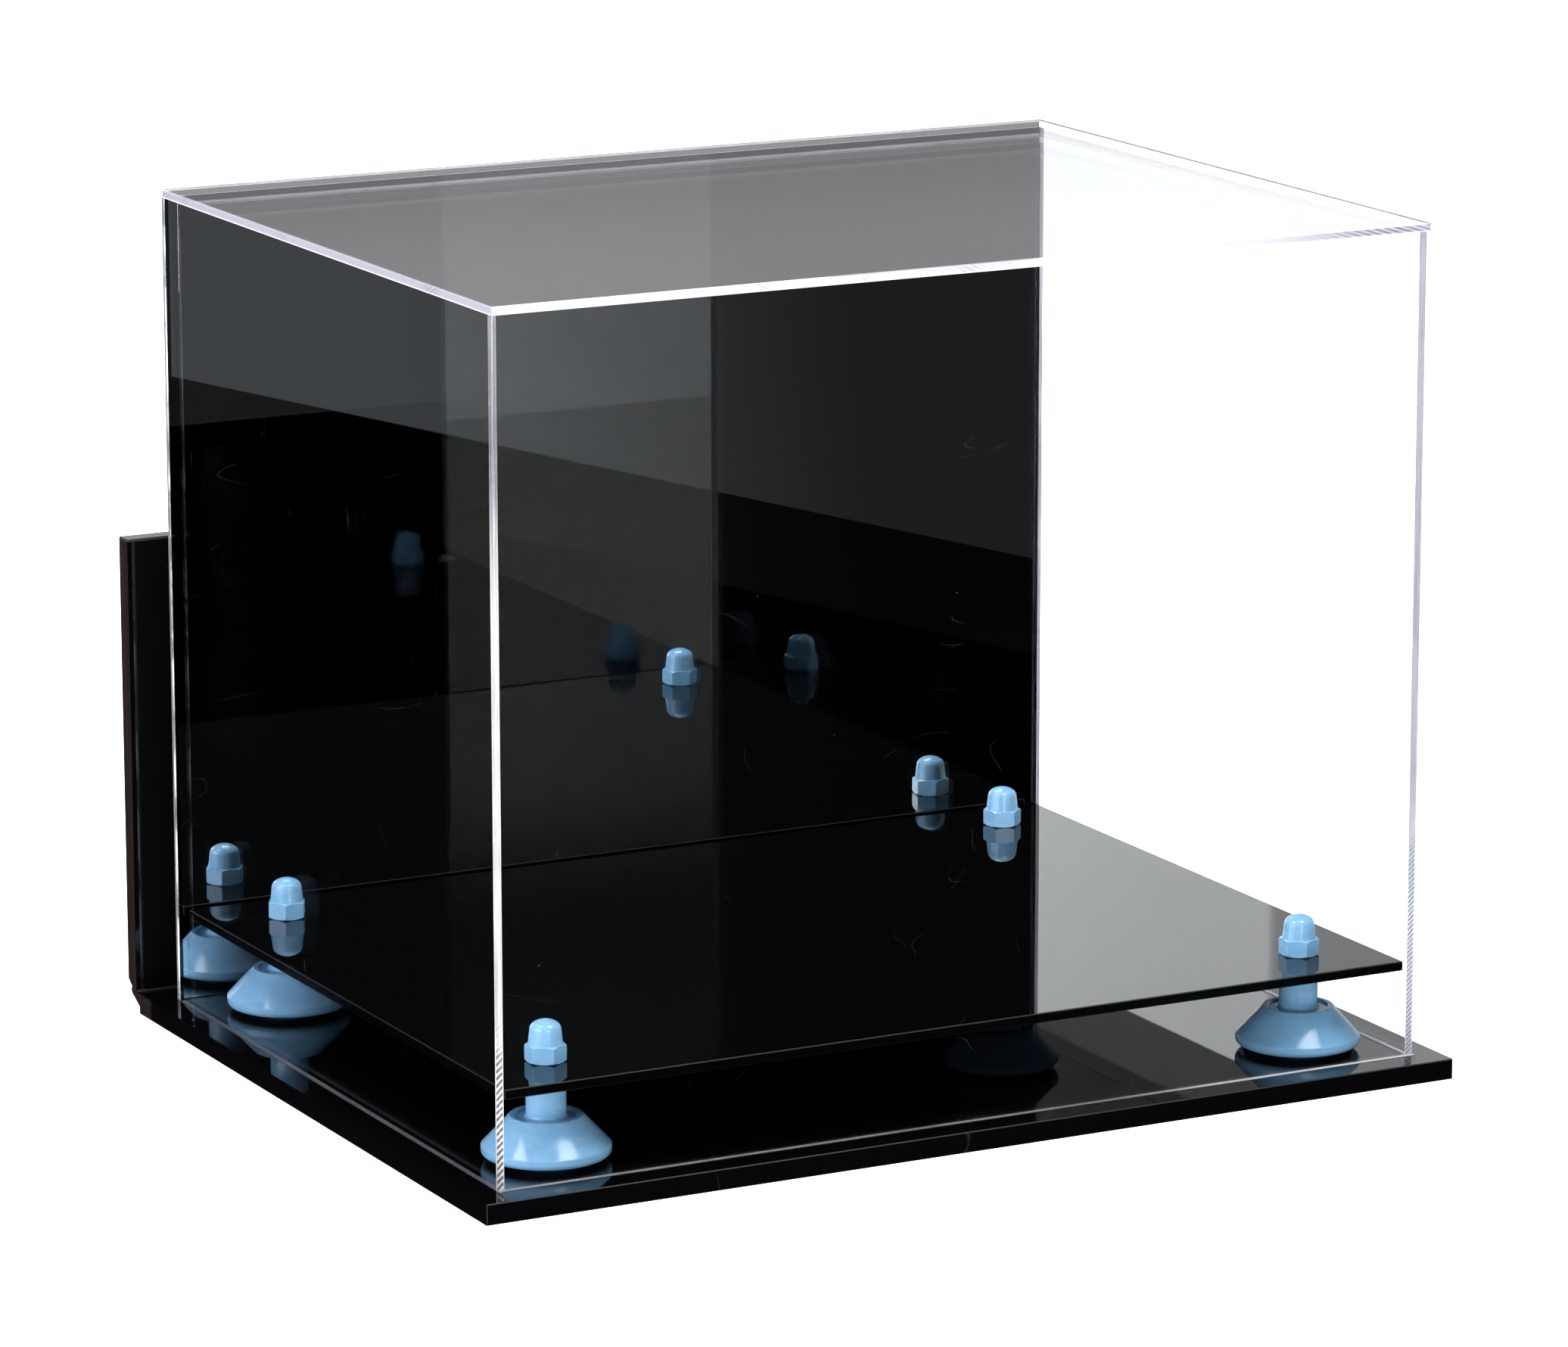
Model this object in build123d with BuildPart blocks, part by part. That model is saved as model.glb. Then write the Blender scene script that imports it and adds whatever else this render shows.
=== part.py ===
"""Tabletop and wall display case: a clear lift-off cover with a mirror back, over a raised platform.

Frame: millimetres, +Z up, origin on the underside, at the middle of the whole footprint.
+X is the width and +Y points to the wall-mount upstand at the back.
"""

from build123d import *
import math
import os

os.makedirs("parts", exist_ok=True)

# ---- Driving dimensions -------------------------------------------------------------------

# Clear cover, open at the bottom. Its back wall is a mirror sheet.
COVER_W = 362.0
COVER_D = 276.5
COVER_H = 301.0
COVER_T = 3.0
CORNER_R = 1.2      # polished corners of the top sheet
ARRIS = 0.35        # broken edges of every sheet

# Base: one black sheet, grooved underneath and heat-bent up at the back.
SHEET_T = 7.5
OVERHANG = 9.5      # base beyond the cover, at the front and at both ends
WALL_GAP = 16.0     # between the mirror and the upstand
UPSTAND_H = 178.0
INNER_BEND_R = 1.2

# Outer side of the bend, measured from the upstand's rear face (depth) and the table (height).
BEVEL_TOE_DEPTH, BEVEL_TOE_H = 10.2, 2.6
BEVEL_TOP_DEPTH, BEVEL_TOP_H = 3.1, 6.4
BULGE_TOP_DEPTH, BULGE_TOP_H = 3.2, 8.8
NOTCH_H = 11.2
BULGE_OUT = 0.5

# Wall screw holes in the upstand.
WALL_HOLE_R = 2.75
WALL_HOLE_SPACING = 254.0
WALL_HOLE_Z = 140.0

# Platform on four risers.
PLATFORM_T = 3.5
PLATFORM_SIDE_GAP = 0.75
PLATFORM_END_GAP = 0.9
RISER_X = 149.5
RISER_Y = 108.5
RISER_H = 31.0

# Riser profile, as radii and as heights above the base sheet.
NECK_R = 6.95
NECK_FILLET = 1.1
RING_R, RING_IN_R, RING_H = 12.6, 10.9, 15.9
DISH_R, DISH_H = 10.3, 15.1
RIM_R, RIM_TOP_H, RIM_BOTTOM_H, RIM_FILLET = 22.4, 5.4, 1.8, 2.0
RIM_EDGE_R = 0.5
RING_EDGE_R = 0.35
HOLLOW_R, HOLLOW_SIDE_H, HOLLOW_TOP_H = 19.4, 4.6, 12.6
BOSS_R = 11.0

# Cap nut, hexagon and dome.
NUT_AF = 12.7
NUT_HEX_H = 6.3
NUT_H = 14.8
NUT_EDGE_R = 0.5
NUT_CHAMFER_R, NUT_CHAMFER_H = 6.1, 0.7
DOME_FOOT_R, DOME_TOP_R, DOME_SHOULDER_R, DOME_CROWN_R = 6.05, 5.3, 3.0, 7.5
DOME_SUNK = 0.2     # how far the dome's foot starts inside the hexagon
NUT_BORE_DEPTH = 9.2

# Countersunk screw from under the base.
SCREW_R = 3.95
SCREW_L = 50.0
SCREW_HEAD_R = 7.85
SCREW_RECESS = 0.3
SINK_ANGLE = 82.0
SINK_R = 8.2
CLEAR_R = 4.2
SOCKET_AF, SOCKET_DEPTH = 4.76, 3.0
TIP_CHAMFER = 0.6
THREAD_GAP = 0.05

# ---- Worked-out places --------------------------------------------------------------------

base_w = COVER_W + 2 * OVERHANG
depth = OVERHANG + COVER_D + WALL_GAP + SHEET_T
front_y = -depth / 2
rear_y = depth / 2
upstand_front_y = rear_y - SHEET_T
cover_front_y = front_y + OVERHANG
cover_back_y = cover_front_y + COVER_D
cover_mid_y = (cover_front_y + cover_back_y) / 2
wall_h = COVER_H - COVER_T
inner_w = COVER_W - 2 * COVER_T
inner_d = COVER_D - 2 * COVER_T
platform_z = SHEET_T + RISER_H
platform_w = inner_w - 2 * PLATFORM_SIDE_GAP
platform_d = inner_d - 2 * PLATFORM_END_GAP
nut_z = platform_z + PLATFORM_T
hex_corner_r = NUT_AF / math.sqrt(3)
socket_corner_r = SOCKET_AF / math.sqrt(3)
screw_head_h = (SCREW_HEAD_R - SCREW_R) / math.tan(math.radians(SINK_ANGLE / 2))
dome_foot_h = NUT_HEX_H - DOME_SUNK

corners = {
    "front_left": (-RISER_X, cover_mid_y - RISER_Y),
    "front_right": (RISER_X, cover_mid_y - RISER_Y),
    "rear_left": (-RISER_X, cover_mid_y + RISER_Y),
    "rear_right": (RISER_X, cover_mid_y + RISER_Y),
}
# Where each tightened nut's corners stop, in degrees.
nut_turn = {"front_left": 28, "front_right": 22, "rear_left": 2, "rear_right": 41}


def crown_height(radius):
    """Height of the cap nut's shallow crown above its seat, at a radius."""
    return NUT_H - DOME_CROWN_R + math.sqrt(DOME_CROWN_R**2 - radius**2)


# ---- Base ---------------------------------------------------------------------------------

with BuildPart() as base_bracket:
    # End profile of the bent sheet. On this plane the sketch's x is the frame's Y and its y is Z.
    with BuildSketch(Plane.YZ.offset(-base_w / 2)) as profile:
        with BuildLine():
            bevel_toe = (rear_y - BEVEL_TOE_DEPTH, BEVEL_TOE_H)
            bevel_top = (rear_y - BEVEL_TOP_DEPTH, BEVEL_TOP_H)
            bulge_top = (rear_y - BULGE_TOP_DEPTH, BULGE_TOP_H)
            bulge_mid = (rear_y - BEVEL_TOP_DEPTH + BULGE_OUT, (BEVEL_TOP_H + BULGE_TOP_H) / 2)
            Polyline((front_y, SHEET_T), (front_y, 0), (bevel_toe[0], 0), bevel_toe, bevel_top)
            ThreePointArc(bevel_top, bulge_mid, bulge_top)
            Polyline(
                bulge_top,
                (rear_y, NOTCH_H),
                (rear_y, UPSTAND_H),
                (upstand_front_y, UPSTAND_H),
                (upstand_front_y, SHEET_T),
                (front_y, SHEET_T),
            )
        make_face()
        fillet(profile.vertices().sort_by_distance((rear_y - SHEET_T, SHEET_T))[0], INNER_BEND_R)
    extrude(amount=base_w)
    # Broken edges round the front of the base and the top of the upstand.
    front_edges = base_bracket.faces().sort_by(Axis.Y)[0].edges()
    chamfer(front_edges, ARRIS)
    upstand_edges = base_bracket.faces().sort_by(Axis.Z)[-1].edges()
    chamfer(upstand_edges, ARRIS)
    # Countersunk screw holes, entered from underneath.
    with Locations(*[Plane((x, y, 0), z_dir=(0, 0, -1)) for x, y in corners.values()]):
        CounterSinkHole(CLEAR_R, SINK_R, depth=SHEET_T, counter_sink_angle=SINK_ANGLE)
    # Wall screw holes through the upstand.
    with Locations(Plane((0, rear_y, WALL_HOLE_Z), x_dir=(1, 0, 0), z_dir=(0, 1, 0))):
        with GridLocations(WALL_HOLE_SPACING, 0, 2, 1):
            Hole(WALL_HOLE_R, depth=SHEET_T)
base_bracket.part.label = "base_bracket"
export_step(base_bracket.part, "parts/base_bracket.step")

# ---- Platform -----------------------------------------------------------------------------

with BuildPart() as platform:
    with BuildSketch(Plane((0, cover_mid_y, platform_z))):
        Rectangle(platform_w, platform_d)
    extrude(amount=PLATFORM_T)
    chamfer(platform.edges(), ARRIS)
    with Locations(*[Plane((x, y, nut_z)) for x, y in corners.values()]):
        Hole(CLEAR_R, depth=PLATFORM_T)
platform.part.label = "platform"
export_step(platform.part, "parts/platform.step")

# ---- Risers, cap nuts and screws, one of each per corner ----------------------------------

for corner, (x, y) in corners.items():
    # Riser: flared foot, hollow underneath round a boss, and a neck up to the platform.
    with BuildPart() as riser:
        with BuildSketch(Plane((x, y, SHEET_T), x_dir=(1, 0, 0), z_dir=(0, -1, 0))) as profile:
            with BuildLine():
                Polyline(
                    (CLEAR_R, 0),
                    (BOSS_R, 0),
                    (BOSS_R, HOLLOW_TOP_H),
                    (HOLLOW_R, HOLLOW_SIDE_H),
                    (HOLLOW_R, RIM_BOTTOM_H),
                    (RIM_R, RIM_BOTTOM_H),
                    (RIM_R, RIM_TOP_H),
                    (RING_R, RING_H),
                    (RING_IN_R, RING_H),
                    (DISH_R, DISH_H),
                    (NECK_R, DISH_H),
                    (NECK_R, RISER_H),
                    (CLEAR_R, RISER_H),
                    (CLEAR_R, 0),
                )
            make_face()
            for point, radius in [
                ((RIM_R, RIM_BOTTOM_H), RIM_FILLET),
                ((RIM_R, RIM_TOP_H), RIM_EDGE_R),
                ((RING_R, RING_H), RING_EDGE_R),
                ((RING_IN_R, RING_H), RING_EDGE_R),
                ((NECK_R, DISH_H), NECK_FILLET),
            ]:
                fillet(profile.vertices().sort_by_distance(point)[0], radius)
        revolve(axis=Axis((x, y, 0), (0, 0, 1)))
    riser.part.label = f"riser_{corner}"
    export_step(riser.part, f"parts/riser_{corner}.step")

    # Cap nut: hexagon chamfered top and bottom, tapered dome, blind threaded bore.
    with BuildPart() as nut:
        with BuildSketch(Plane((x, y, nut_z))):
            RegularPolygon(hex_corner_r, 6, rotation=nut_turn[corner])
        extrude(amount=NUT_HEX_H)
        fillet(nut.edges().filter_by(Axis.Z), NUT_EDGE_R)
        with BuildSketch(Plane((x, y, nut_z), x_dir=(1, 0, 0), z_dir=(0, -1, 0))):
            Polygon(
                (0, 0),
                (NUT_CHAMFER_R, 0),
                (hex_corner_r, NUT_CHAMFER_H),
                (hex_corner_r, NUT_HEX_H - NUT_CHAMFER_H),
                (NUT_CHAMFER_R, NUT_HEX_H),
                (0, NUT_HEX_H),
                align=None,
            )
        revolve(axis=Axis((x, y, 0), (0, 0, 1)), mode=Mode.INTERSECT)
        with BuildSketch(Plane((x, y, nut_z), x_dir=(1, 0, 0), z_dir=(0, -1, 0))) as profile:
            with BuildLine():
                shoulder = (DOME_TOP_R, crown_height(DOME_TOP_R))
                crown_mid = (DOME_TOP_R / 2, crown_height(DOME_TOP_R / 2))
                ThreePointArc(shoulder, crown_mid, (0, NUT_H))
                Polyline(shoulder, (DOME_FOOT_R, dome_foot_h), (0, dome_foot_h), (0, NUT_H))
            make_face()
            fillet(profile.vertices().sort_by_distance(shoulder)[0], DOME_SHOULDER_R)
        revolve(axis=Axis((x, y, 0), (0, 0, 1)))
        with Locations(Plane((x, y, nut_z), z_dir=(0, 0, -1))):
            Hole(SCREW_R + THREAD_GAP, depth=NUT_BORE_DEPTH)
    nut.part.label = f"cap_nut_{corner}"
    export_step(nut.part, f"parts/cap_nut_{corner}.step")

    # Countersunk screw with a hexagon socket, up through base, riser and platform into the nut.
    with BuildPart() as screw:
        with BuildSketch(Plane((x, y, SCREW_RECESS), x_dir=(1, 0, 0), z_dir=(0, -1, 0))):
            Polygon(
                (0, 0),
                (SCREW_HEAD_R, 0),
                (SCREW_R, screw_head_h),
                (SCREW_R, SCREW_L - TIP_CHAMFER),
                (SCREW_R - TIP_CHAMFER, SCREW_L),
                (0, SCREW_L),
                align=None,
            )
        revolve(axis=Axis((x, y, 0), (0, 0, 1)))
        with BuildSketch(Plane((x, y, SCREW_RECESS))):
            RegularPolygon(socket_corner_r, 6)
        extrude(amount=SOCKET_DEPTH, mode=Mode.SUBTRACT)
    screw.part.label = f"base_screw_{corner}"
    export_step(screw.part, f"parts/base_screw_{corner}.step")

# ---- Cover: five sheets cemented edge to face -----------------------------------------------

with BuildPart() as cover_top:
    with BuildSketch(Plane((0, cover_mid_y, SHEET_T + wall_h))):
        RectangleRounded(COVER_W, COVER_D, CORNER_R)
    extrude(amount=COVER_T)
    chamfer(cover_top.faces().sort_by(Axis.Z)[-1].edges(), ARRIS)
cover_top.part.label = "cover_top"
export_step(cover_top.part, "parts/cover_top.step")

# Front and mirror sheets run the full width, and the two side sheets stand between them.
full_width_sheets = {
    "cover_front": cover_front_y,
    "mirror_back": cover_back_y - COVER_T,
}
for name, y in full_width_sheets.items():
    with BuildPart() as sheet:
        with BuildSketch(Plane((0, y + COVER_T / 2, SHEET_T))):
            Rectangle(COVER_W, COVER_T)
        extrude(amount=wall_h)
        chamfer(sheet.edges().filter_by(Axis.Z), ARRIS)
    sheet.part.label = name
    export_step(sheet.part, f"parts/{name}.step")

side_sheets = {
    "cover_left": -COVER_W / 2 + COVER_T / 2,
    "cover_right": COVER_W / 2 - COVER_T / 2,
}
for name, x in side_sheets.items():
    with BuildPart() as sheet:
        with BuildSketch(Plane((x, cover_mid_y, SHEET_T))):
            Rectangle(COVER_T, inner_d)
        extrude(amount=wall_h)
    sheet.part.label = name
    export_step(sheet.part, f"parts/{name}.step")
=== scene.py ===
import math
import bmesh
import bpy
from mathutils import Matrix, Vector


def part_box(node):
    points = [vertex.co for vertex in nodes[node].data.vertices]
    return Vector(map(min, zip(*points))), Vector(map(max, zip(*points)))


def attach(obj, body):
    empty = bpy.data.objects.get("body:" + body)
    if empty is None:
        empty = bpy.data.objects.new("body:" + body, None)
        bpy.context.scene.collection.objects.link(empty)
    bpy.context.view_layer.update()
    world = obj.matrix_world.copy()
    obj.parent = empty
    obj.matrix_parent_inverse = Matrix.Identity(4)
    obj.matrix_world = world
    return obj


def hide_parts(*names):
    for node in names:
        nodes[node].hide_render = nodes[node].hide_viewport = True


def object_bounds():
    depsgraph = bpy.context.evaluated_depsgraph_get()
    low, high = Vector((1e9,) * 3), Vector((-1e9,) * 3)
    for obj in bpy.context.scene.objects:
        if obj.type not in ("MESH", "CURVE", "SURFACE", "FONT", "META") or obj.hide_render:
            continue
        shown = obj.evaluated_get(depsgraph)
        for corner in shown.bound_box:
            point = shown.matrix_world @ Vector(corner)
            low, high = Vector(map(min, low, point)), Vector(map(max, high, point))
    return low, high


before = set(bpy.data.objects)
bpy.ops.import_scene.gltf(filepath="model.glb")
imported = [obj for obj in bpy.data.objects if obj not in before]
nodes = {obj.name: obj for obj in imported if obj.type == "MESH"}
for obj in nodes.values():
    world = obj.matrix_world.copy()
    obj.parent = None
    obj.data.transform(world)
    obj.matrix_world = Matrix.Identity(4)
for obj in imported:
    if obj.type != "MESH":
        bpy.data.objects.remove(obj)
cad_box = [list(corner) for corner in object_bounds()]
MM = 0.001
ACRYLIC_IOR = 1.49

# ---- Places taken from the frame ------------------------------------------------------------

cover_low, cover_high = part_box("cover_top")
base_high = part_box("base_bracket")[1]
mirror_low, mirror_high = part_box("mirror_back")
sheet_t = cover_high.z - cover_low.z
base_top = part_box("cover_front")[0].z
cover_mid_y = (cover_low.y + cover_high.y) / 2
wall_top = cover_low.z
front_inner_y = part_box("cover_front")[1].y
side_inner_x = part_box("cover_right")[0].x


def centre_of(node):
    """Middle of a CAD node's box."""
    low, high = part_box(node)
    return (low + high) / 2


# ---- Short calls for node trees ---------------------------------------------------------------


class Tree:
    """Adds and joins shader nodes in few words. A value may be a number, a colour or an output."""

    def __init__(self, tree):
        self.tree = tree
        self.tree.nodes.clear()

    def feed(self, socket, value):
        if isinstance(value, bpy.types.NodeSocket):
            self.tree.links.new(value, socket)
        else:
            socket.default_value = value

    def add(self, kind, inputs=None, **settings):
        node = self.tree.nodes.new("ShaderNode" + kind)
        for name, value in settings.items():
            setattr(node, name, value)
        for name, value in (inputs or {}).items():
            self.feed(node.inputs[name], value)
        return node

    def math(self, operation, *values):
        node = self.add("Math", operation=operation, use_clamp=False)
        for socket, value in zip(node.inputs, values):
            self.feed(socket, value)
        return node.outputs[0]

    def product(self, first, *others):
        for value in others:
            first = self.math("MULTIPLY", first, value)
        return first

    def largest(self, first, *others):
        for value in others:
            first = self.math("MAXIMUM", first, value)
        return first

    def span(self, value, low, high, to_low=0.0, to_high=1.0):
        """Maps low..high to to_low..to_high, smoothly and no further."""
        inputs = {"Value": value, "From Min": low, "From Max": high, "To Min": to_low, "To Max": to_high}
        return self.add("MapRange", inputs, interpolation_type="SMOOTHSTEP", clamp=True).outputs[0]

    def blend(self, factor, a, b):
        """Mixes two colours."""
        node = self.add("Mix", data_type="RGBA")
        for index, value in ((0, factor), (6, a), (7, b)):
            self.feed(node.inputs[index], value)
        return node.outputs[2]

    def shade(self, factor, a, b):
        """Mixes two shaders."""
        node = self.add("MixShader", {0: factor, 1: a, 2: b})
        return node.outputs[0]

    def place(self):
        """Object coordinates as a vector and its three parts."""
        vector = self.add("TexCoord").outputs["Object"]
        return vector, *self.add("SeparateXYZ", {0: vector}).outputs

    def facing(self):
        """How squarely the surface faces each axis, and its signed direction."""
        parts = self.add("SeparateXYZ", {0: self.add("TexCoord").outputs["Normal"]}).outputs
        return [self.math("ABSOLUTE", part) for part in parts], list(parts)

    def noise(self, scale, detail=2.0, stretch=(1, 1, 1), turn=(0, 0, 0), rough=0.5, twist=0.0):
        """Noise in object space, in features per metre."""
        vector = self.add("TexCoord").outputs["Object"]
        mapping = self.add("Mapping", {"Vector": vector, "Scale": stretch, "Rotation": turn})
        inputs = {"Vector": mapping.outputs[0], "Scale": scale, "Detail": detail, "Roughness": rough,
                  "Distortion": twist}
        return self.add("TexNoise", inputs).outputs[0]

    def dust(self, scale, share, size):
        """Sparse round specks, one to a cell, in a share of the cells."""
        vector = self.add("TexCoord").outputs["Object"]
        cells = self.add("TexVoronoi", {"Vector": vector, "Scale": scale, "Randomness": 1.0})
        parts = self.add("SeparateXYZ", {0: cells.outputs["Color"]}).outputs
        near = self.span(cells.outputs["Distance"], size, size * 0.4)
        return self.product(near, self.math("LESS_THAN", parts[0], share), parts[1])

    def scratches(self, scale, stretch, turn, width=0.006, share=0.56):
        """Hairlines that follow the level lines of stretched noise, broken up by a coarser noise."""
        lines = self.noise(scale, 1.0, stretch, turn, twist=0.4)
        off = self.math("ABSOLUTE", self.math("SUBTRACT", lines, 0.5))
        broken = self.span(self.noise(scale * 2.3, 2.0), share, share + 0.06)
        return self.product(self.span(off, width, 0.0), broken)

    def saw_marks(self, along, across, pitch, slant):
        """Slanting saw marks across a sheet's end, one to a pitch."""
        turns = self.product(self.math("ADD", along, self.product(across, slant)), 2 * math.pi / pitch)
        wobble = self.product(self.noise(160.0, 2.0), 3.0)
        return self.span(self.math("SINE", self.math("ADD", turns, wobble)), -0.3, 0.5)

    def bump(self, height, depth, strength=1.0):
        """A bump from a 0 to 1 height, depth metres deep."""
        return self.add("Bump", {"Height": height, "Distance": depth, "Strength": strength}).outputs[0]


def new_material(name):
    """A material with an empty node tree, and what builds it."""
    material = bpy.data.materials.new(name)
    material.use_nodes = True
    return material, Tree(material.node_tree)


def finish_material(tree, shader):
    tree.add("OutputMaterial", {"Surface": shader})


# ---- Materials ----------------------------------------------------------------------------------


def black_acrylic():
    """Cast black sheet: polished faces with dust and hairlines, and a sawn upstand edge."""
    material, t = new_material("black_acrylic")
    square, _ = t.facing()
    _, _, y, z = t.place()
    upstand = t.math("GREATER_THAN", y, mirror_high.y + 2 * MM)
    at_top = t.math("GREATER_THAN", z, base_high.z - 1 * MM)
    ends = t.product(t.span(square[0], 0.5, 0.8), upstand)
    lines = t.noise(260.0, 3.0, (0.02, 14.0, 0.02))
    end_lines = t.noise(260.0, 3.0, (14.0, 14.0, 0.05))
    dust = t.dust(210.0, 0.04, 0.05)
    hairs = t.scratches(19.0, (1, 7, 1), (0, 0, 0.5), 0.003, 0.6)
    marks = t.largest(t.product(dust, 0.45), t.product(hairs, 0.035))
    arris = t.span(t.largest(*square), 0.95, 0.85)
    end_wear = t.product(ends, t.span(end_lines, 0.35, 0.7, 0.3, 1.0))
    top_wear = t.product(at_top, t.span(lines, 0.3, 0.7, 0.35, 1.0))
    lower_arris = t.product(t.span(z, 0.45 * MM, 0.25 * MM), t.span(square[2], 0.9, 0.75))
    colour = t.blend(marks, (0.0014, 0.0014, 0.0017, 1), (0.34, 0.34, 0.36, 1))
    colour = t.blend(end_wear, colour, (0.022, 0.015, 0.013, 1))
    colour = t.blend(top_wear, colour, (0.034, 0.033, 0.035, 1))
    colour = t.blend(lower_arris, colour, (0.035, 0.007, 0.009, 1))     # a faint red tint
    haze = t.span(t.noise(9.0, 4.0), 0.35, 0.75, 0.012, 0.035)
    sawn = t.largest(ends, at_top)
    sawn_rough = t.product(sawn, t.span(lines, 0.3, 0.7, 0.10, 0.30))
    rough = t.largest(haze, t.product(marks, 0.5), sawn_rough, t.product(arris, 0.6))
    height = t.math("ADD", t.product(sawn, lines), t.product(marks, 0.3))
    inputs = {"Base Color": colour, "Roughness": rough, "IOR": ACRYLIC_IOR,
              "Normal": t.bump(height, 0.03 * MM, 0.6)}
    finish_material(t, t.add("BsdfPrincipled", inputs).outputs[0])
    return material


def blue_plastic():
    """Glossy injection-moulded plastic: faint orange peel and flow marks, scuffed edges and settled dust."""
    material, t = new_material("blue_plastic")
    _, signed = t.facing()
    peel = t.noise(420.0, 2.0)
    flow = t.noise(55.0, 3.0, (1, 1, 3), twist=1.5)
    dust = t.product(t.dust(900.0, 0.10, 0.12), t.span(signed[2], 0.1, 0.8))
    scuffs = t.scratches(160.0, (1, 1, 6), (0.4, 0.2, 0), 0.01, 0.5)
    deep, pale = (0.190, 0.405, 0.640, 1), (0.225, 0.450, 0.690, 1)
    colour = t.blend(t.span(flow, 0.3, 0.7), deep, pale)
    colour = t.blend(t.largest(t.product(dust, 0.5), t.product(scuffs, 0.25)), colour, (0.55, 0.66, 0.78, 1))
    rough = t.largest(t.span(flow, 0.3, 0.8, 0.13, 0.2), t.product(dust, 0.6), t.product(scuffs, 0.4))
    height = t.math("ADD", t.product(peel, 0.7), t.math("SUBTRACT", dust, t.product(scuffs, 0.6)))
    inputs = {"Base Color": colour, "Roughness": rough, "IOR": 1.5, "Normal": t.bump(height, 0.02 * MM, 0.5)}
    finish_material(t, t.add("BsdfPrincipled", inputs).outputs[0])
    return material


def screw_steel():
    """Turned steel: fine rings round each screw's axis, with small stains."""
    material, t = new_material("screw_steel")
    _, x, y, _ = t.place()
    right = centre_of("base_screw_front_right")
    rear = centre_of("base_screw_rear_right")
    across = t.math("SUBTRACT", t.math("ABSOLUTE", x), right.x)
    mid_y = (right.y + rear.y) / 2
    along = t.math("SUBTRACT", t.math("ABSOLUTE", t.math("SUBTRACT", y, mid_y)), rear.y - mid_y)
    radius = t.math("SQRT", t.math("ADD", t.product(across, across), t.product(along, along)))
    turns = t.product(radius, 28000.0)     # a ring every 0.22 mm
    rings = t.math("SINE", t.math("ADD", turns, t.product(t.noise(300.0), 2.5)))
    stain = t.span(t.noise(500.0, 4.0), 0.55, 0.75)
    colour = t.blend(stain, (0.60, 0.60, 0.61, 1), (0.33, 0.31, 0.29, 1))
    rough = t.span(t.noise(900.0, 3.0), 0.3, 0.7, 0.24, 0.42)
    inputs = {"Base Color": colour, "Metallic": 1.0, "Roughness": rough,
              "Normal": t.bump(rings, 0.02 * MM, 0.35)}
    finish_material(t, t.add("BsdfPrincipled", inputs).outputs[0])
    return material


def pane_shader(t, marks):
    """A clear face: what is behind it, its gloss, and the marks on it."""
    clear = t.add("BsdfTransparent", {"Color": (0.985, 0.99, 0.99, 1)}).outputs[0]
    gloss = t.add("BsdfGlossy", {"Color": (1, 1, 1, 1), "Roughness": 0.01}).outputs[0]
    # Inside the sheet the ray isn't bent, so the back of each face has to mirror as its front does.
    inside = t.add("NewGeometry").outputs["Backfacing"]
    bend = t.span(inside, 0.0, 1.0, ACRYLIC_IOR, 1 / ACRYLIC_IOR)
    pane = t.shade(t.add("Fresnel", {"IOR": bend}).outputs[0], clear, gloss)
    # Matt light grey under the marks: dust and hairlines, and the painted highlights on the front sheet's and
    # the mirror's ends.
    dust_and_highlight = t.add("BsdfDiffuse", {"Color": (0.82, 0.83, 0.85, 1)}).outputs[0]
    return t.shade(marks, pane, dust_and_highlight)


def lamps_pass(t, shader):
    """Lets lamps shine straight through."""
    lit = t.add("LightPath").outputs["Is Shadow Ray"]
    return t.shade(lit, shader, t.add("BsdfTransparent", {"Color": (0.96, 0.96, 0.96, 1)}).outputs[0])


def sheet_marks(t):
    """Dust and hairlines on a polished face."""
    hairs = t.scratches(19.0, (1, 6, 2), (0.3, 0.2, 0.5), 0.003, 0.62)
    return t.largest(t.product(t.dust(170.0, 0.04, 0.035), 0.3), t.product(hairs, 0.014))


def clear_wall(name, axis):
    """A wall that is thin along an axis. Its glued ends are clear: sawn strips stand for what shows there."""
    material, t = new_material(name)
    square, _ = t.facing()
    marks = sheet_marks(t)
    polished = t.span(square[axis], 0.6, 0.8)
    if axis == 1:
        # Ends that show. The front sheet's are polished, with a painted highlight line along each arris. The
        # mirror's are painted light grey all over, a broken painted highlight.
        _, _, y, _ = t.place()
        ends = t.span(square[0], 0.6, 0.8)
        middle = (cover_low.y + front_inner_y) / 2
        from_middle = t.math("ABSOLUTE", t.math("SUBTRACT", y, middle))
        broken = t.span(t.noise(60.0, 3.0), 0.35, 0.65, 0.15, 0.8)
        # arris carries painted highlight: a line on the front sheet's ends, the whole of the mirror's ends.
        arris = t.product(ends, broken, t.span(from_middle, sheet_t / 2 - 0.45 * MM, sheet_t / 2 - 0.15 * MM))
        marks = t.largest(marks, arris)
        polished = t.largest(polished, ends)
    glued = t.add("BsdfTransparent", {"Color": (1, 1, 1, 1)}).outputs[0]
    finish_material(t, lamps_pass(t, t.shade(polished, glued, pane_shader(t, marks))))
    return material


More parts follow.
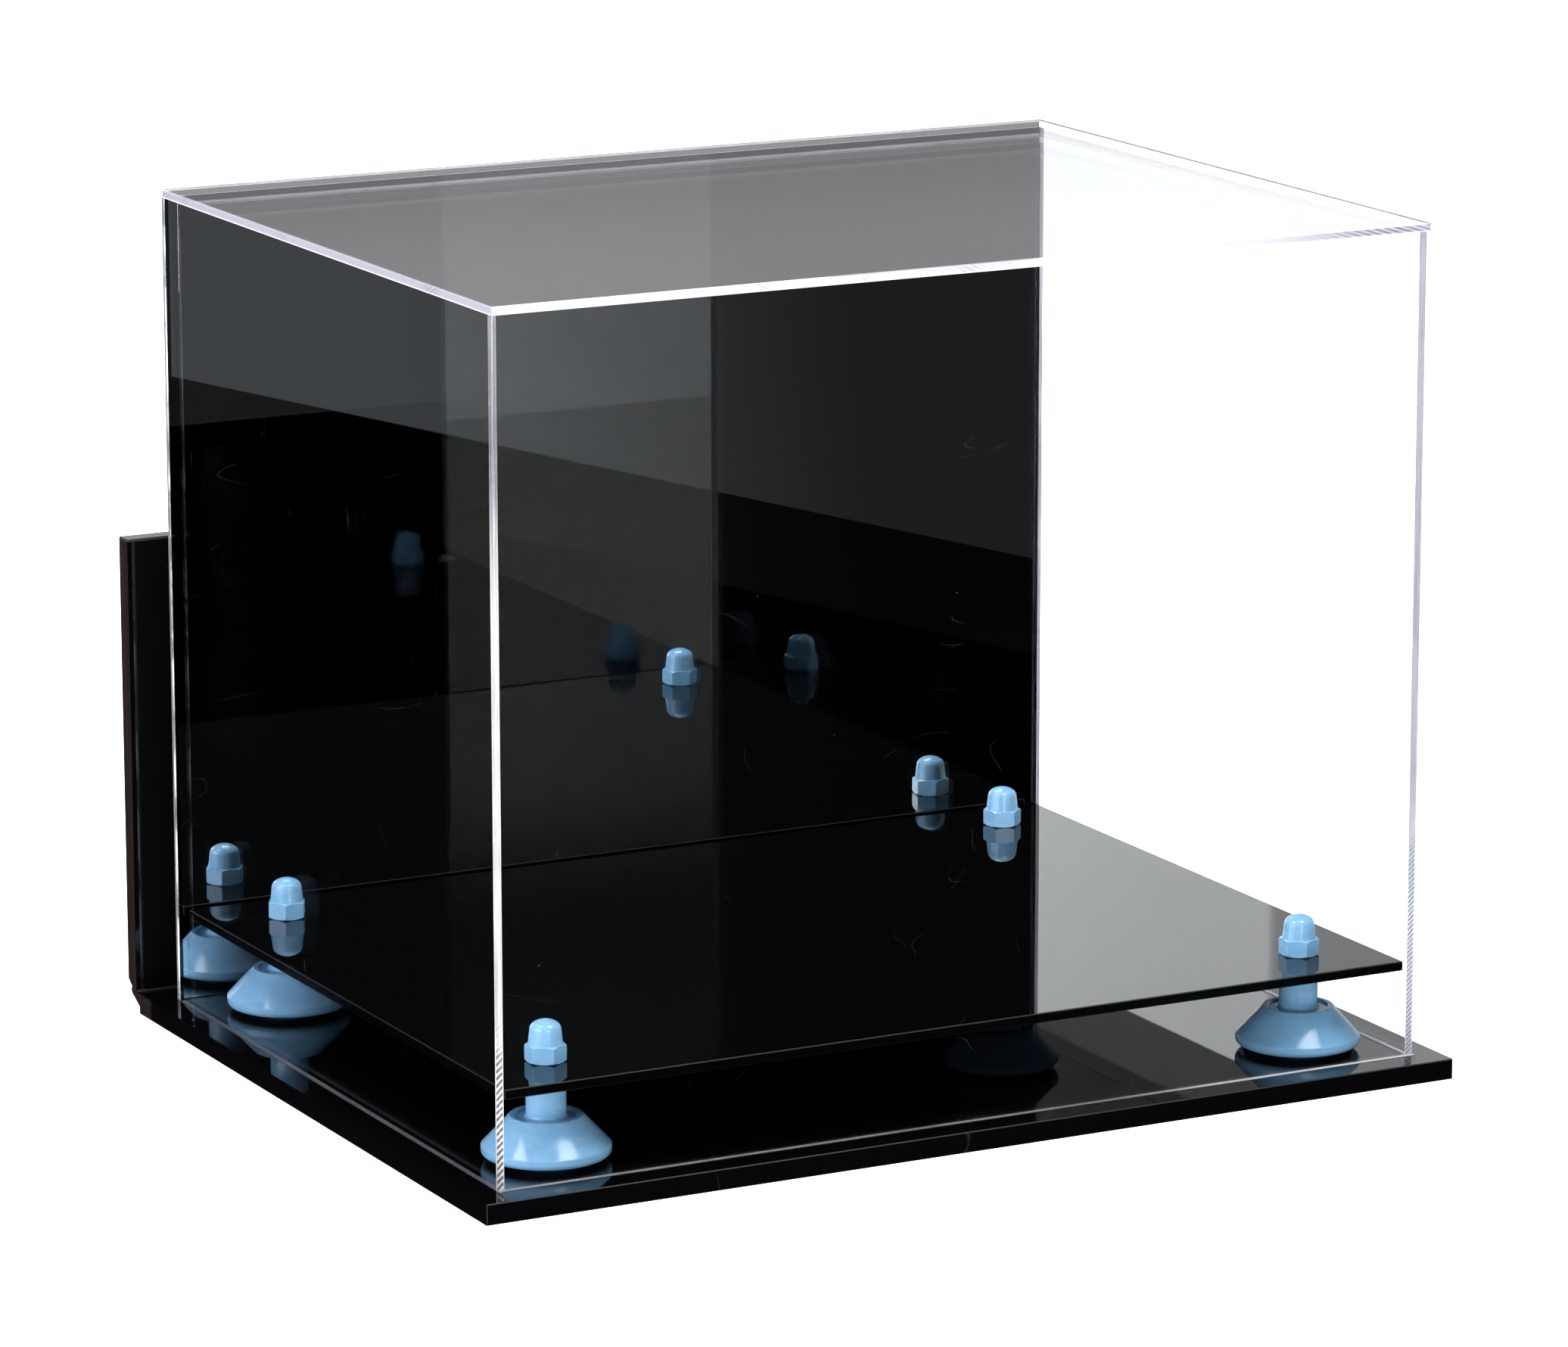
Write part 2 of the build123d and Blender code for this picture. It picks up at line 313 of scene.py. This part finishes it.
def clear_top():
    """The top sheet: clear faces, and frosty sawn edges with painted light (a painted highlight along each
    arris, painted brightness that differs from edge to edge) and a few deep saw marks.
    """
    material, t = new_material("clear_top")
    square, _ = t.facing()
    _, x, y, z = t.place()
    middle = (cover_low.z + cover_high.z) / 2
    from_middle = t.math("ABSOLUTE", t.math("SUBTRACT", z, middle))
    arris = t.span(from_middle, sheet_t / 2 - 0.6 * MM, sheet_t / 2 - 0.2 * MM)
    fine = t.noise(420.0, 3.0, (0.06, 0.06, 3.0))
    sideways = t.span(square[0], 0.5, 0.8)
    # Painted light on the edges: front and rear edges pale at the left and painted dimmer towards the right,
    # side edges painted darker.
    painted_dimming_to_right = t.span(x, 0.35 * cover_high.x, 0.85 * cover_high.x)
    colour = t.blend(painted_dimming_to_right, (0.66, 0.66, 0.69, 1), (0.42, 0.42, 0.48, 1))
    colour = t.blend(sideways, colour, (0.31, 0.31, 0.355, 1))
    colour = t.blend(t.span(fine, 0.35, 0.75, 0.0, 0.3), colour, (0.25, 0.25, 0.30, 1))
    # A painted highlight along each arris.
    colour = t.blend(t.product(arris, 0.6), colour, (0.78, 0.78, 0.81, 1))
    along = t.math("ADD", x, y)
    deep = t.product(t.saw_marks(along, z, 3.4 * MM, 2.2), t.span(t.noise(26.0, 2.0), 0.56, 0.66))
    near_right = t.span(x, 0.70 * cover_high.x, 0.88 * cover_high.x)
    corner = t.product(t.saw_marks(along, z, 4.2 * MM, 3.0), near_right)
    cuts = t.product(t.largest(t.product(deep, 0.45), t.product(corner, 0.8)), t.math("SUBTRACT", 1.0, arris))
    colour = t.blend(cuts, colour, (0.10, 0.10, 0.13, 1))
    height = t.math("SUBTRACT", fine, cuts)
    cut = {"Base Color": colour, "Roughness": 0.35, "IOR": ACRYLIC_IOR, "Alpha": 0.94,
           "Normal": t.bump(height, 0.04 * MM, 0.6)}
    edge = t.add("BsdfPrincipled", cut).outputs[0]
    # From within the sheet the side edges are hardly seen, and the front and rear ones are dim.
    inside = t.add("NewGeometry").outputs["Backfacing"]
    seen_within = t.blend(sideways, (0.12, 0.12, 0.125, 1), (0.97, 0.97, 0.98, 1))
    edge = t.shade(inside, edge, t.add("BsdfTransparent", {"Color": seen_within}).outputs[0])
    face = t.span(square[2], 0.6, 0.8)
    finish_material(t, lamps_pass(t, t.shade(face, edge, pane_shader(t, sheet_marks(t)))))
    return material


RAGGED = 60 * MM         # how far wear shifts a change of colour along a sawn end
HATCH_FADE = 8 * MM      # half the length over which the hatch fades out


def sawn_end(name, along_axis, across_axis, pale, dull, low_end_painted_light=None, hatch=None):
    """A sheet's sawn end: streaks along it and, where hatch says, slanting marks between light borders.

    low_end_painted_light is (what pale becomes towards the low end, (where that starts, where it ends)).
    hatch is (top of the marks, pitch, middle of the sheet, colour of the marks).
    A hatched end is hardly seen from behind, through the sheet."""
    material, t = new_material(name)
    place = t.place()[1:]
    along, across = place[along_axis], place[across_axis]
    streaks_scale = [9.0, 9.0, 9.0]
    streaks_scale[along_axis] = 0.12
    streaks = t.noise(260.0, 3.0, streaks_scale)
    glints_and_specks = t.noise(900.0, 2.0)
    worn = t.noise(40.0, 3.0)
    level = t.math("ADD", t.product(streaks, 0.6), t.product(worn, 0.4))
    shift = t.product(t.math("SUBTRACT", worn, 0.5), RAGGED)
    # Painted light and shade: pale turns to the given colour towards the low end, painted brighter on the
    # front ends and painted darker on the front foot.
    if low_end_painted_light:
        tint, where = low_end_painted_light
        pale = t.blend(t.span(t.math("ADD", along, shift), *where), tint, pale)
        dull = t.blend(t.span(along, *where), t.blend(0.6, dull, tint), dull)
    colour = t.blend(t.span(level, 0.38, 0.62), dull, pale)
    # Bright specks: painted glints, and the sawn end's own frosted specks.
    colour = t.blend(t.span(glints_and_specks, 0.6, 0.75, 0.0, 0.4), colour, (0.80, 0.79, 0.78, 1))
    height = streaks
    if hatch:
        top, pitch, middle, mark_colour = hatch
        from_middle = t.math("ABSOLUTE", t.math("SUBTRACT", across, middle))
        between_borders = t.span(from_middle, 1.0 * MM, 1.25 * MM, 1.0, 0.0)
        zone = t.span(t.math("ADD", along, shift), top + HATCH_FADE, top - HATCH_FADE)
        cuts = t.product(t.saw_marks(along, across, pitch, -0.9), zone, between_borders)
        colour = t.blend(t.product(cuts, 0.9), colour, mark_colour)
        height = t.math("SUBTRACT", streaks, cuts)
    inputs = {"Base Color": colour, "Roughness": 0.4, "IOR": ACRYLIC_IOR,
              "Normal": t.bump(height, 0.05 * MM, 0.7)}
    skin = t.add("BsdfPrincipled", inputs).outputs[0]
    if hatch:
        behind = t.largest(t.span(t.facing()[1][1], 0.3, 0.6), t.add("NewGeometry").outputs["Backfacing"])
        clear = t.add("BsdfTransparent", {"Color": (0.97, 0.97, 0.98, 1)}).outputs[0]
        skin = t.shade(t.product(behind, 0.9), skin, clear)
    finish_material(t, lamps_pass(t, skin))
    return material


def mirror_film():
    """The mirror's metal film seen from the front, and its grey protective paint from behind."""
    material, t = new_material("mirror_film")
    _, signed = t.facing()
    shiny = t.span(signed[1], -0.5, -0.8)
    smears = t.noise(8.0, 5.0, twist=0.8)
    dust = t.dust(330.0, 0.05, 0.05)
    grain = t.noise(700.0, 4.0)
    paint = t.blend(t.span(grain, 0.3, 0.7), (0.10, 0.105, 0.11, 1), (0.15, 0.155, 0.16, 1))
    silver = t.blend(dust, (0.90, 0.915, 0.92, 1), (0.5, 0.5, 0.5, 1))
    paint_rough = t.span(grain, 0.2, 0.8, 0.42, 0.6)
    film_rough = t.span(smears, 0.4, 0.8, 0.0, 0.02)
    rough = t.add("Mix", {0: shiny, 2: paint_rough, 3: film_rough}, data_type="FLOAT").outputs[0]
    inputs = {"Base Color": t.blend(shiny, paint, silver), "Metallic": shiny, "Roughness": rough,
              "Normal": t.bump(t.product(grain, t.math("SUBTRACT", 1.0, shiny)), 0.03 * MM, 0.5)}
    finish_material(t, t.add("BsdfPrincipled", inputs).outputs[0])
    return material


# ---- Assign the finishes ---------------------------------------------------------------------------


def dress(material, *names):
    """Puts one material on CAD nodes."""
    for name in names:
        slots = nodes[name].data.materials
        slots.clear()
        slots.append(material)


def named(prefix):
    return [name for name in nodes if name.startswith(prefix)]


dress(black_acrylic(), "base_bracket", "platform")
dress(blue_plastic(), *named("riser_"), *named("cap_nut_"))
dress(screw_steel(), *named("base_screw_"))
dress(clear_wall("clear_side_wall", 0), "cover_left", "cover_right")
dress(clear_wall("clear_front_wall", 1), "cover_front")
dress(clear_top(), "cover_top")

# ---- Mirror sheet: clear front, metal film and painted back ----------------------------------------

FILM_DEPTH = 1.85 * MM     # refraction makes the film look this far behind the sheet's front face
FILM_GAP = 0.02 * MM
SHEET_ARRIS = 0.3 * MM
FRONT_SLOT, FILM_SLOT = 0, 1


def box_matrix(low, high):
    """What turns a unit cube into the box between two corners."""
    return Matrix.LocRotScale((low + high) / 2, None, high - low)


def add_slab(bm, low, high, slot):
    """A slab with broken edges, as a closed shell of its own."""
    others = set(bm.faces)
    made = bmesh.ops.create_cube(bm, size=1.0, matrix=box_matrix(low, high))
    edges = list({edge for vert in made["verts"] for edge in vert.link_edges})
    bmesh.ops.bevel(bm, geom=edges, offset=SHEET_ARRIS, segments=2, profile=0.5, affect="EDGES")
    for face in set(bm.faces) - others:
        face.material_index = slot


def make_mirror():
    """One piece in place of the plain mirror sheet."""
    bm = bmesh.new()
    film_y = mirror_low.y + FILM_DEPTH
    front_low = mirror_low + Vector((0, FILM_GAP, 0))
    front_high = Vector((mirror_high.x, film_y - FILM_GAP, mirror_high.z - FILM_GAP))
    film_low = Vector((mirror_low.x, film_y, mirror_low.z))
    film_high = mirror_high - Vector((0, 0, FILM_GAP))
    add_slab(bm, front_low, front_high, FRONT_SLOT)
    add_slab(bm, film_low, film_high, FILM_SLOT)
    mesh = bpy.data.meshes.new("mirror_sheet")
    bm.to_mesh(mesh)
    bm.free()
    mesh.materials.append(clear_wall("mirror_front", 1))
    mesh.materials.append(mirror_film())
    piece = bpy.data.objects.new("mirror_sheet", mesh)
    bpy.context.scene.collection.objects.link(piece)
    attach(piece, "cover")
    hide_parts("mirror_back")


make_mirror()

# ---- Sawn ends of the cover's sheets ------------------------------------------------------------------

STRIP_GAP = 0.05 * MM      # a strip lies this far inside its sheet
STRIP_DEPTH = 0.12 * MM
WAVE = 0.03 * MM           # how deep the saw's waves are
WAVE_PITCH = 2.4 * MM
SLOW_WAVE = 0.37 * math.pi / MM     # radians per metre of a second wave, out of step with the first
LEFT_HATCH_PITCH, RIGHT_HATCH_PITCH = 2.4 * MM, 1.7 * MM


def sawn_strip(name, low, high, material):
    """A thin closed skin just inside a sheet's end, with the saw's waves along its length."""
    size = high - low
    order = sorted(range(3), key=lambda axis: size[axis])
    thin, long = order[0], order[2]
    bm = bmesh.new()
    bmesh.ops.create_cube(bm, size=1.0, matrix=box_matrix(low, high))
    runs = [edge for edge in bm.edges
            if abs(edge.verts[0].co[long] - edge.verts[1].co[long]) > size[long] / 2]
    bmesh.ops.subdivide_edges(bm, edges=runs, cuts=round(4 * size[long] / WAVE_PITCH), use_grid_fill=True)
    for vert in bm.verts:
        # The waves only sink the faces, so the strip stays inside its sheet.
        inward = 1 if vert.co[thin] < (low[thin] + high[thin]) / 2 else -1
        wave = math.sin(2 * math.pi * vert.co[long] / WAVE_PITCH) + math.sin(SLOW_WAVE * vert.co[long])
        vert.co[thin] += inward * WAVE * (2 + wave) / 4
    bmesh.ops.recalc_face_normals(bm, faces=bm.faces)
    mesh = bpy.data.meshes.new(name)
    bm.to_mesh(mesh)
    bm.free()
    mesh.materials.append(material)
    piece = bpy.data.objects.new(name, mesh)
    bpy.context.scene.collection.objects.link(piece)
    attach(piece, "cover")


def make_upright_ends():
    """Front ends of the side walls, seen through the front sheet, and their rear ends beside the mirror."""
    gap = STRIP_GAP
    middle = (side_inner_x + cover_high.x) / 2
    # Painted light: both front ends are painted paler low down, standing in for light coming through the
    # sheet.
    painted_bright_below = ((0.80, 0.80, 0.79, 1), (base_top + 190 * MM, base_top + 250 * MM))
    painted_white_below = ((0.72, 0.71, 0.70, 1), (base_top + 60 * MM, base_top + 110 * MM))
    left_hatch = (base_top + 52 * MM, LEFT_HATCH_PITCH, -middle, (0.035, 0.035, 0.045, 1))
    right_hatch = (base_top + 85 * MM, RIGHT_HATCH_PITCH, middle, (0.17, 0.20, 0.34, 1))
    left = sawn_end("sawn_end_left", 2, 0, (0.34, 0.34, 0.36, 1), (0.17, 0.17, 0.19, 1),
                    painted_bright_below, left_hatch)
    right = sawn_end("sawn_end_right", 2, 0, (0.42, 0.42, 0.48, 1), (0.32, 0.32, 0.38, 1),
                     painted_white_below, right_hatch)
    rear = sawn_end("sawn_end_rear", 2, 0, (0.50, 0.50, 0.56, 1), (0.30, 0.30, 0.35, 1))
    for name, low_x, high_x, low_y, material in (
            ("left_front_end", cover_low.x, -side_inner_x, front_inner_y + gap, left),
            ("right_front_end", side_inner_x, cover_high.x, front_inner_y + gap, right),
            ("right_rear_end", middle, cover_high.x, mirror_low.y - gap - STRIP_DEPTH, rear)):
        sawn_strip(name, Vector((low_x + gap, low_y, base_top + gap)),
                   Vector((high_x - gap, low_y + STRIP_DEPTH, wall_top - gap)), material)


def make_feet():
    """Lower edges of the walls, with painted light and shade: dim in the middle, bright towards the right."""
    gap = STRIP_GAP
    low_z, high_z = base_top + gap, base_top + gap + STRIP_DEPTH
    # Painted shade: grey and dark on the left foot and the left part of the front foot; painted light on the
    # rest.
    grey, dark = (0.115, 0.115, 0.125, 1), (0.07, 0.07, 0.08, 1)
    front = sawn_end("sawn_foot_front", 0, 1, (0.62, 0.62, 0.64, 1), (0.48, 0.48, 0.50, 1),
                     (grey, (0.3 * cover_high.x, 0.7 * cover_high.x)))
    left = sawn_end("sawn_foot_left", 1, 0, grey, dark)
    right = sawn_end("sawn_foot_right", 1, 0, (0.62, 0.62, 0.64, 1), (0.48, 0.48, 0.50, 1))
    foot = 2 * MM
    sawn_strip("front_foot", Vector((cover_low.x + gap, front_inner_y - foot, low_z)),
               Vector((cover_high.x - gap, front_inner_y - gap, high_z)), front)
    sawn_strip("left_foot", Vector((cover_low.x + gap, front_inner_y + 4 * gap, low_z)),
               Vector((cover_low.x + foot, mirror_low.y - 4 * gap, high_z)), left)
    sawn_strip("right_foot", Vector((side_inner_x + gap, front_inner_y + 4 * gap, low_z)),
               Vector((side_inner_x + foot, mirror_low.y - 4 * gap, high_z)), right)


def make_far_arrises():
    """Upper arrises of the top sheet's right and rear edges, seen through its face."""
    gap = STRIP_GAP
    right = sawn_end("sawn_arris_right", 1, 0, (0.42, 0.42, 0.46, 1), (0.30, 0.30, 0.35, 1))
    rear = sawn_end("sawn_arris_rear", 0, 1, (0.66, 0.66, 0.72, 1), (0.52, 0.52, 0.58, 1))
    top = cover_high.z - gap
    sawn_strip("top_right_arris", Vector((cover_high.x - 0.9 * MM, cover_low.y + gap, top - 0.5 * MM)),
               Vector((cover_high.x - gap, cover_high.y - gap, top)), right)
    sawn_strip("top_rear_arris", Vector((cover_low.x + gap, cover_high.y - 1.8 * MM, top - 0.7 * MM)),
               Vector((cover_high.x - 1.2 * MM, cover_high.y - gap, top)), rear)


make_upright_ends()
make_feet()
make_far_arrises()

# ---- Floor, backdrop and world ------------------------------------------------------------------------


WHITE = 2.2     # floor and world are exposed past white


def emission_material(name, colour, strength):
    material, t = new_material(name)
    finish_material(t, t.add("Emission", {"Color": colour, "Strength": strength}).outputs[0])
    return material


def card(name, corners, material, **sees):
    """A flat stage card. Only the kinds of ray named in sees meet it."""
    mesh = bpy.data.meshes.new(name)
    mesh.from_pydata(corners, [], [(0, 1, 2, 3)])
    mesh.materials.append(material)
    obj = bpy.data.objects.new(name, mesh)
    bpy.context.scene.collection.objects.link(obj)
    for ray in ("camera", "diffuse", "glossy", "transmission", "shadow"):
        setattr(obj, "visible_" + ray, sees.get(ray, False))


def floor_material():
    """Plain pale floor with a faint paper grain, exposed past white where it is seen directly."""
    material, t = new_material("floor_paper")
    grain = t.span(t.noise(300.0, 3.0), 0.3, 0.7)
    colour = t.blend(grain, (0.86, 0.86, 0.86, 1), (0.9, 0.9, 0.9, 1))
    seen = t.span(t.add("LightPath").outputs["Is Camera Ray"], 0.0, 1.0, 0.50, WHITE)
    paper = {"Base Color": colour, "Roughness": 0.9, "Emission Color": (1, 1, 1, 1),
             "Emission Strength": seen}
    finish_material(t, t.add("BsdfPrincipled", paper).outputs[0])
    return material


def backdrop_material():
    """Lit backdrop that only reflections see: bright low down behind the case, darker at both ends."""
    material, t = new_material("backdrop_glow")
    _, x, _, z = t.place()
    low = t.span(x, 0.40, 0.56, 2.2, 1.9)
    low = t.math("MINIMUM", low, t.span(x, 0.572, 0.58, 2.2, 1.0))
    low = t.math("MINIMUM", low, t.span(x, 0.10, 0.30, 1.1, 2.2))
    high = t.span(z, 0.36, 0.45, 0.25, 0.40)
    height = t.span(z, 0.27, 0.36)
    strength = t.math("ADD", t.product(low, t.math("SUBTRACT", 1.0, height)), t.product(height, high))
    finish_material(t, t.add("Emission", {"Color": (0.97, 0.985, 1.0, 1), "Strength": strength}).outputs[0])
    return material


FLOOR = 4.0                # half of the floor's side
FLOOR_DROP = 0.2 * MM
BACKDROP_Y, BACKDROP_TOP = 0.6, 2.0               # bright, behind the case
SIDE_BACKDROP_Y, SIDE_BACKDROP_TOP = 1.2, 0.16    # dim, seen in the left wall
SIDE_BACKDROP_X = -0.4
BRIGHT_TABLE_X = 1.0
TABLE_FRONT_Y = -1.8
TABLE_FRONT_X, TABLE_REAR_X = 0.12, 0.96     # the dark table's right edge runs askew to the case
LEFT_END, RIGHT_END = -2.0, 3.0


def flat(low_x, high_x, low_y, high_y, z):
    """Corners of a level card."""
    return [(low_x, low_y, z), (high_x, low_y, z), (high_x, high_y, z), (low_x, high_y, z)]


def upright(low_x, high_x, y, top):
    """Corners of a card that stands on the table."""
    return [(low_x, y, 0), (high_x, y, 0), (high_x, y, top), (low_x, y, top)]


card("floor", flat(-FLOOR, FLOOR, -FLOOR, FLOOR, -FLOOR_DROP),
     floor_material(), camera=True, diffuse=True, transmission=True, shadow=True)
card("backdrop", upright(cover_low.x, RIGHT_END, BACKDROP_Y, BACKDROP_TOP), backdrop_material(), glossy=True)
card("side_backdrop", upright(LEFT_END, SIDE_BACKDROP_X, SIDE_BACKDROP_Y, SIDE_BACKDROP_TOP),
     emission_material("side_backdrop_glow", (0.95, 0.97, 1.0, 1), 0.04), glossy=True)
card("dark_table", [(LEFT_END, TABLE_FRONT_Y, -FLOOR_DROP), (TABLE_FRONT_X, TABLE_FRONT_Y, -FLOOR_DROP),
                    (TABLE_REAR_X, SIDE_BACKDROP_Y, -FLOOR_DROP), (LEFT_END, SIDE_BACKDROP_Y, -FLOOR_DROP)],
     emission_material("dark_table", (0, 0, 0, 1), 0.0), glossy=True)
card("bright_table", flat(base_high.x, BRIGHT_TABLE_X, 0, BACKDROP_Y, 0),
     emission_material("bright_table", (1, 1, 1, 1), 1.0), glossy=True)


def make_world():
    """White to the eye, soft fill to matt surfaces, and a dim studio to reflections."""
    world = bpy.data.worlds.new("studio")
    world.use_nodes = True
    t = Tree(world.node_tree)
    path = t.add("LightPath").outputs
    right, _, height = t.add("SeparateXYZ", {0: t.add("TexCoord").outputs["Generated"]}).outputs
    glow = t.product(t.span(height, -0.02, 0.02, 0.080, 0.008), t.span(right, 0.40, 0.47, 1.0, 0.22))
    dim = t.add("Background", {"Color": (0.9, 0.95, 1.0, 1), "Strength": glow}).outputs[0]
    fill = t.add("Background", {"Color": (0.82, 0.94, 1.0, 1), "Strength": 0.36}).outputs[0]
    white = t.add("Background", {"Color": (1, 1, 1, 1), "Strength": WHITE}).outputs[0]
    shader = t.shade(path["Is Diffuse Ray"], dim, fill)
    shader = t.shade(t.largest(path["Is Camera Ray"], path["Is Transmission Ray"]), shader, white)
    t.add("OutputWorld", {"Surface": shader})
    bpy.context.scene.world = world


make_world()
LIGHT_AIM = Vector((0, cover_mid_y, 0.1))


def softbox(name, place, width, height, glow, colour=(1, 1, 1)):
    """A soft area light aimed at the platform. glow is how bright its face is."""
    light = bpy.data.lights.new(name, "AREA")
    light.shape, light.size, light.size_y = "RECTANGLE", width, height
    light.energy = glow * math.pi * width * height
    light.color = colour
    obj = bpy.data.objects.new(name, light)
    bpy.context.scene.collection.objects.link(obj)
    obj.location = place
    obj.rotation_euler = (LIGHT_AIM - Vector(place)).to_track_quat("-Z", "Y").to_euler()
    obj.visible_camera = False


softbox("overhead_right", (0.19, -0.47, 1.12), width=0.50, height=0.50, glow=14.0)
softbox("overhead_left", (-0.66, -0.02, 1.08), width=0.36, height=0.50, glow=12.0, colour=(0.96, 0.96, 1.0))
softbox("side_left", (-1.5, -0.2, 0.45), width=1.4, height=0.9, glow=6.5, colour=(0.97, 0.94, 1.0))
softbox("front_low", (-0.23, -1.65, 0.30), width=0.50, height=0.55, glow=9.0, colour=(1.0, 0.98, 0.96))

# ---- Camera ---------------------------------------------------------------------------------------------

CAMERA_AZIMUTH, CAMERA_ELEVATION, CAMERA_ROLL = -27.579, 12.840, -0.057
CAMERA_DISTANCE = 2.6359
CAMERA_LENS, SENSOR = 166.87, 36.0
AIM_OFFSET = Vector((0.0128, 0.0203, -0.02215))     # from the middle of the object's box


def make_camera():
    aim = (Vector(cad_box[0]) + Vector(cad_box[1])) / 2 + AIM_OFFSET
    azimuth, elevation = math.radians(CAMERA_AZIMUTH), math.radians(CAMERA_ELEVATION)
    flat = math.cos(elevation)
    back = Vector((math.sin(azimuth) * flat, -math.cos(azimuth) * flat, math.sin(elevation)))
    data = bpy.data.cameras.new("camera")
    data.lens, data.sensor_width = CAMERA_LENS, SENSOR
    obj = bpy.data.objects.new("camera", data)
    bpy.context.scene.collection.objects.link(obj)
    obj.rotation_mode = "QUATERNION"
    obj.location = aim + back * CAMERA_DISTANCE
    roll = Matrix.Rotation(math.radians(CAMERA_ROLL), 4, "Z").to_quaternion()
    obj.rotation_quaternion = (-back).to_track_quat("-Z", "Y") @ roll
    bpy.context.scene.camera = obj


make_camera()
bpy.context.scene.view_settings.view_transform = "Standard"
